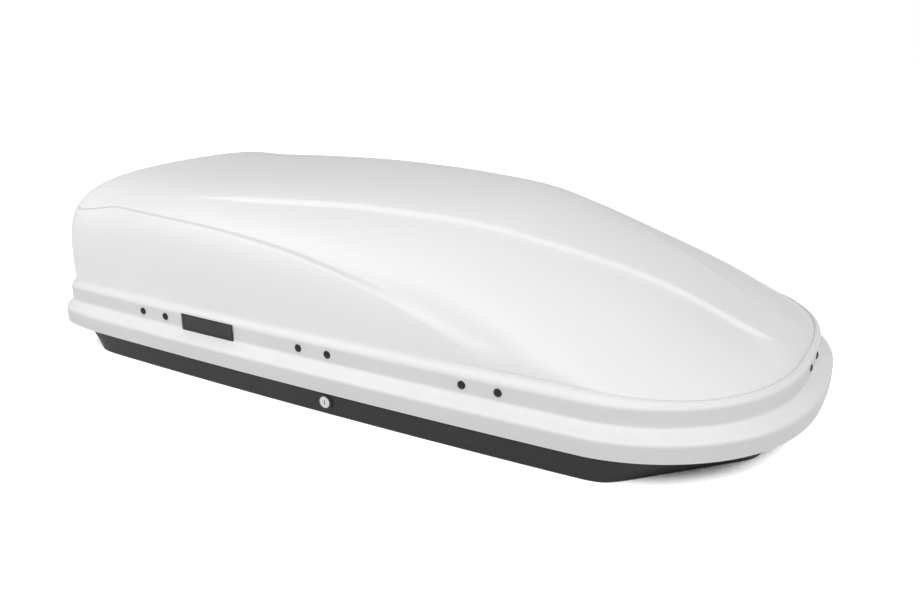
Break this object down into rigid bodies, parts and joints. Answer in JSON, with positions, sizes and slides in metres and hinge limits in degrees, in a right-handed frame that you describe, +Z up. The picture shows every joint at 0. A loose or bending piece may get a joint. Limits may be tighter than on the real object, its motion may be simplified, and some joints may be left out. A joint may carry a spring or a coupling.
{
  "type": "roof box",
  "caption": "Hard-shell roof box with a domed lid that opens to one side over a shallow tray, with hinges, a central sliding lock bar, catches and lid struts.",
  "frame": {"origin": "middle of the underside of the closed box", "axes": "+X towards the nose, +Y towards the hinged side, +Z up; the lock is on the -Y side"},
  "size_m": [1.44, 0.7658, 0.334],
  "materials": {
    "shell_white": "gloss",
    "tray_dark": "satin, fine grain",
    "fitting_black": "matt",
    "zinc_steel": "zinc plated",
    "rivet_dark": "satin",
    "strut_black": "satin",
    "seal_rubber": "matt",
    "lock_chrome": "polished"
  },
  "bodies": {
    "tray": {"base_tray": "tray_dark", "mounting_rail_near": "zinc_steel", "mounting_rail_far": "zinc_steel", "slot_seal_near_rear": "seal_rubber", "slot_seal_near_front": "seal_rubber", "slot_seal_far_rear": "seal_rubber", "slot_seal_far_front": "seal_rubber", "hinge_tray_leaf_rear": "zinc_steel", "hinge_tray_leaf_middle": "zinc_steel", "hinge_tray_leaf_front": "zinc_steel", "hinge_pin_rear": "zinc_steel", "hinge_pin_middle": "zinc_steel", "hinge_pin_front": "zinc_steel", "bar_guide_1": "fitting_black", "bar_guide_2": "fitting_black", "bar_guide_3": "fitting_black", "bar_guide_4": "fitting_black", "lock_housing": "fitting_black", "nose_receiver": "fitting_black", "strut_foot_rear": "zinc_steel", "strut_foot_front": "zinc_steel"},
    "lid": {"lid_shell": "shell_white", "catch_rear": "zinc_steel", "catch_middle": "zinc_steel", "catch_front": "zinc_steel", "catch_rear_rivet_a": "rivet_dark", "catch_rear_rivet_b": "rivet_dark", "catch_middle_rivet_a": "rivet_dark", "catch_middle_rivet_b": "rivet_dark", "catch_front_rivet_a": "rivet_dark", "catch_front_rivet_b": "rivet_dark", "hinge_lid_leaf_rear": "zinc_steel", "hinge_lid_leaf_middle": "zinc_steel", "hinge_lid_leaf_front": "zinc_steel", "hinge_rear_rivet_a": "rivet_dark", "hinge_rear_rivet_b": "rivet_dark", "hinge_middle_rivet_a": "rivet_dark", "hinge_middle_rivet_b": "rivet_dark", "hinge_front_rivet_a": "rivet_dark", "hinge_front_rivet_b": "rivet_dark", "nose_tongue": "zinc_steel", "nose_rivet_a": "rivet_dark", "nose_rivet_b": "rivet_dark", "strut_head_rear": "zinc_steel", "strut_head_front": "zinc_steel"},
    "bar": {"locking_bar": "zinc_steel"},
    "barrel": {"lock_barrel": "lock_chrome", "lock_crank": "zinc_steel"},
    "strut_tube_rear": {"strut_tube_rear": "strut_black"},
    "strut_rod_rear": {"strut_rod_rear": "zinc_steel"},
    "strut_tube_front": {"strut_tube_front": "strut_black"},
    "strut_rod_front": {"strut_rod_front": "zinc_steel"}
  },
  "joints": [
    {"name": "lid_hinge", "type": "hinge", "parent": "tray", "child": "lid", "pos_m": [0, 0.376, 0.0415], "axis": [-1, 0, 0], "range_deg": [0, 50]},
    {"name": "bar_slide", "type": "slide", "parent": "tray", "child": "bar", "axis": [1, 0, 0], "range_m": [0, 0.0184]},
    {"name": "barrel_turn", "type": "hinge", "parent": "tray", "child": "barrel", "pos_m": [-0.002, -0.36, 0.024], "axis": [0, 1, 0], "range_deg": [0, 90.1]},
    {"name": "strut_rear_swing", "type": "hinge", "parent": "tray", "child": "strut_tube_rear", "pos_m": [-0.5, 0.3, 0.026], "axis": [-1, 0, 0], "range_deg": [0, 34.5]},
    {"name": "strut_rear_slide", "type": "slide", "parent": "strut_tube_rear", "child": "strut_rod_rear", "axis": [0, 0.167, 0.986], "range_m": [0, 0.0528]},
    {"name": "strut_front_swing", "type": "hinge", "parent": "tray", "child": "strut_tube_front", "pos_m": [0.12, 0.3, 0.026], "axis": [-1, 0, 0], "range_deg": [0, 34.5]},
    {"name": "strut_front_slide", "type": "slide", "parent": "strut_tube_front", "child": "strut_rod_front", "axis": [0, 0.167, 0.986], "range_m": [0, 0.0528]}
  ],
  "couplings": [
    {"joint": "barrel_turn", "follows": "bar_slide", "rad_per_m": 85.37},
    {"joint": "strut_rear_swing", "follows": "lid_hinge", "ratio": 0.6873},
    {"joint": "strut_rear_slide", "follows": "lid_hinge", "m_per_rad": 0.06041},
    {"joint": "strut_front_swing", "follows": "lid_hinge", "ratio": 0.6873},
    {"joint": "strut_front_slide", "follows": "lid_hinge", "m_per_rad": 0.06041}
  ]
}
